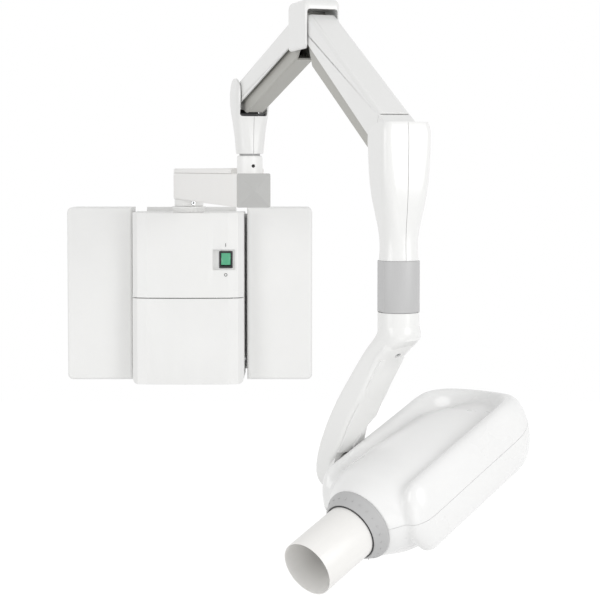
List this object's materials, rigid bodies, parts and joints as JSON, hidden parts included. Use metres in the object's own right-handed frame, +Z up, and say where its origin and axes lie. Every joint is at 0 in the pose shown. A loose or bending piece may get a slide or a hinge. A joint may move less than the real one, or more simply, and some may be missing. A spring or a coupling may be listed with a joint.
{
  "type": "wall-mounted dental x-ray unit",
  "caption": "Wall controller with a swinging mast, a spring-balanced scissor arm and a yoke that carries a tilting x-ray tube head with an open-ended cone.",
  "frame": {"origin": "middle of the wall plate's back face, on the wall", "axes": "+Z up, +Y into the wall, +X to the right of a viewer who faces the wall"},
  "size_m": [0.7156, 1.3646, 0.6655],
  "materials": {
    "wall_plate": "light grey powder coat",
    "left_wing_cover": "fine textured white moulding",
    "right_wing_cover": "fine textured white moulding",
    "main_cover_upper": "fine textured white moulding",
    "main_cover_lower": "fine textured white moulding",
    "switch_bezel": "black moulding",
    "chassis_tray": "zinc-plated sheet steel",
    "circuit_board": "green solder mask",
    "power_transformer": "varnished laminations",
    "terminal_block": "moulded grey plastic",
    "cover_screws": "plated steel",
    "bearing_bracket": "grey powder coat",
    "pivot_bushes": "sintered bronze",
    "pivot_flange": "grey powder coat",
    "switch_rocker": "lit green translucent plastic",
    "mast_hub": "grey powder coat",
    "hub_screws": "plated steel",
    "mast_tube": "satin white powder coat",
    "mast_top_cover": "satin white extrusion",
    "mast_end_cap": "mid grey moulding",
    "mast_rear_cap": "mid grey moulding",
    "post_collar": "light grey powder coat",
    "collar_screw": "blackened steel",
    "lower_yoke_left": "satin white moulding",
    "lower_yoke_right": "satin white moulding",
    "lower_yoke_core": "machined steel",
    "post_washer": "black thrust washer",
    "lower_pivot_pin": "ground steel",
    "lower_link_pin": "ground steel",
    "lower_arm_beam": "grey powder coat",
    "lower_arm_cover": "satin white moulding",
    "lower_spring": "black enamel",
    "lower_spring_rod": "hard chrome",
    "lower_link": "zinc-plated steel",
    "elbow_bracket": "grey powder coat",
    "elbow_pins": "ground steel",
    "elbow_hood": "satin white moulding",
    "upper_arm_beam": "grey powder coat",
    "upper_arm_cover": "satin white moulding",
    "upper_arm_end_cap": "satin white moulding",
    "upper_spring": "black enamel",
    "upper_spring_rod": "hard chrome",
    "upper_link": "zinc-plated steel",
    "wrist_half_left": "satin white moulding",
    "wrist_half_right": "satin white moulding",
    "wrist_core": "machined aluminium",
    "wrist_pin": "ground steel",
    "wrist_link_pin": "ground steel",
    "column_sleeve": "light grey moulding",
    "head_yoke": "satin white lacquer on cast aluminium",
    "yoke_inner_cover": "satin white moulding",
    "yoke_screw": "plated steel",
    "head_upper_shell": "satin white moulding",
    "head_lower_shell": "satin white moulding",
    "tilt_hub": "machined aluminium",
    "tube_tank": "grey enamel on lead-lined steel",
    "xray_tube": "clear glass with metal flanges",
    "cone_ring": "light grey moulding",
    "beam_cone": "off-white lead-lined plastic"
  },
  "bodies": {
    "wall_unit": {"wall_plate": "wall_plate", "left_wing_cover": "left_wing_cover", "right_wing_cover": "right_wing_cover", "main_cover_upper": "main_cover_upper", "main_cover_lower": "main_cover_lower", "switch_bezel": "switch_bezel", "chassis_tray": "chassis_tray", "circuit_board": "circuit_board", "power_transformer": "power_transformer", "terminal_block": "terminal_block", "cover_screws": "cover_screws", "bearing_bracket": "bearing_bracket", "pivot_bushes": "pivot_bushes", "pivot_flange": "pivot_flange"},
    "rocker": {"switch_rocker": "switch_rocker"},
    "mast": {"mast_hub": "mast_hub", "hub_screws": "hub_screws", "mast_tube": "mast_tube", "mast_top_cover": "mast_top_cover", "mast_end_cap": "mast_end_cap", "mast_rear_cap": "mast_rear_cap", "post_collar": "post_collar", "collar_screw": "collar_screw"},
    "lower_yoke": {"lower_yoke_left": "lower_yoke_left", "lower_yoke_right": "lower_yoke_right", "lower_yoke_core": "lower_yoke_core", "post_washer": "post_washer", "lower_pivot_pin": "lower_pivot_pin", "lower_link_pin": "lower_link_pin"},
    "lower_arm": {"lower_arm_beam": "lower_arm_beam", "lower_arm_cover": "lower_arm_cover", "lower_spring": "lower_spring", "lower_spring_rod": "lower_spring_rod"},
    "lower_parallel_link": {"lower_link": "lower_link"},
    "elbow": {"elbow_bracket": "elbow_bracket", "elbow_pins": "elbow_pins", "elbow_hood": "elbow_hood"},
    "upper_arm": {"upper_arm_beam": "upper_arm_beam", "upper_arm_cover": "upper_arm_cover", "upper_arm_end_cap": "upper_arm_end_cap", "upper_spring": "upper_spring", "upper_spring_rod": "upper_spring_rod"},
    "upper_parallel_link": {"upper_link": "upper_link"},
    "wrist": {"wrist_half_left": "wrist_half_left", "wrist_half_right": "wrist_half_right", "wrist_core": "wrist_core", "wrist_pin": "wrist_pin", "wrist_link_pin": "wrist_link_pin", "column_sleeve": "column_sleeve"},
    "yoke": {"head_yoke": "head_yoke", "yoke_inner_cover": "yoke_inner_cover", "yoke_screw": "yoke_screw"},
    "head": {"head_upper_shell": "head_upper_shell", "head_lower_shell": "head_lower_shell", "tilt_hub": "tilt_hub", "tube_tank": "tube_tank", "xray_tube": "xray_tube", "cone_ring": "cone_ring", "beam_cone": "beam_cone"}
  },
  "joints": [
    {"name": "power_rocker", "type": "hinge", "parent": "wall_unit", "child": "rocker", "pos_m": [0.071, -0.105, 0.0675], "axis": [1, 0, 0], "range_deg": [0, 16]},
    {"name": "mast_swivel", "type": "hinge", "parent": "wall_unit", "child": "mast", "pos_m": [0, -0.075, 0.179], "axis": [0, 0, 1], "range_deg": [-80, 65]},
    {"name": "post_swivel", "type": "hinge", "parent": "mast", "child": "lower_yoke", "pos_m": [0.13442, -0.67001, 0.258], "axis": [0, 0, 1], "range_deg": [-100, 100]},
    {"name": "lower_arm_lift", "type": "hinge", "parent": "lower_yoke", "child": "lower_arm", "pos_m": [0.13442, -0.67001, 0.3365], "axis": [-0.9483, -0.3173, 0], "range_deg": [-7, 45]},
    {"name": "lower_link_follow", "type": "hinge", "parent": "lower_yoke", "child": "lower_parallel_link", "pos_m": [0.13442, -0.67001, 0.3515], "axis": [-0.9483, -0.3173, 0], "range_deg": [-7, 45]},
    {"name": "elbow_level", "type": "hinge", "parent": "lower_arm", "child": "elbow", "pos_m": [0.22009, -0.92605, 0.40986], "axis": [-0.9483, -0.3173, 0], "range_deg": [-45, 7]},
    {"name": "upper_arm_lift", "type": "hinge", "parent": "elbow", "child": "upper_arm", "pos_m": [0.23278, -0.96399, 0.40986], "axis": [-0.9483, -0.3173, 0], "range_deg": [-28, 22]},
    {"name": "upper_link_follow", "type": "hinge", "parent": "elbow", "child": "upper_parallel_link", "pos_m": [0.23278, -0.96399, 0.42486], "axis": [-0.9483, -0.3173, 0], "range_deg": [-28, 22]},
    {"name": "wrist_level", "type": "hinge", "parent": "upper_arm", "child": "wrist", "pos_m": [0.31947, -1.22307, 0.26275], "axis": [-0.9483, -0.3173, 0], "range_deg": [-22, 28]},
    {"name": "column_swivel", "type": "hinge", "parent": "wrist", "child": "yoke", "pos_m": [0.31947, -1.22307, 0.075], "axis": [0, 0, 1], "range_deg": [-150, 150]},
    {"name": "head_tilt", "type": "hinge", "parent": "yoke", "child": "head", "pos_m": [0.31947, -1.22307, -0.112], "axis": [0.7337, -0.6794, 0], "range_deg": [-42, 18]}
  ],
  "couplings": [
    {"joint": "lower_link_follow", "follows": "lower_arm_lift", "ratio": 1},
    {"joint": "elbow_level", "follows": "lower_arm_lift", "ratio": -1},
    {"joint": "upper_link_follow", "follows": "upper_arm_lift", "ratio": 1},
    {"joint": "wrist_level", "follows": "upper_arm_lift", "ratio": -1}
  ]
}
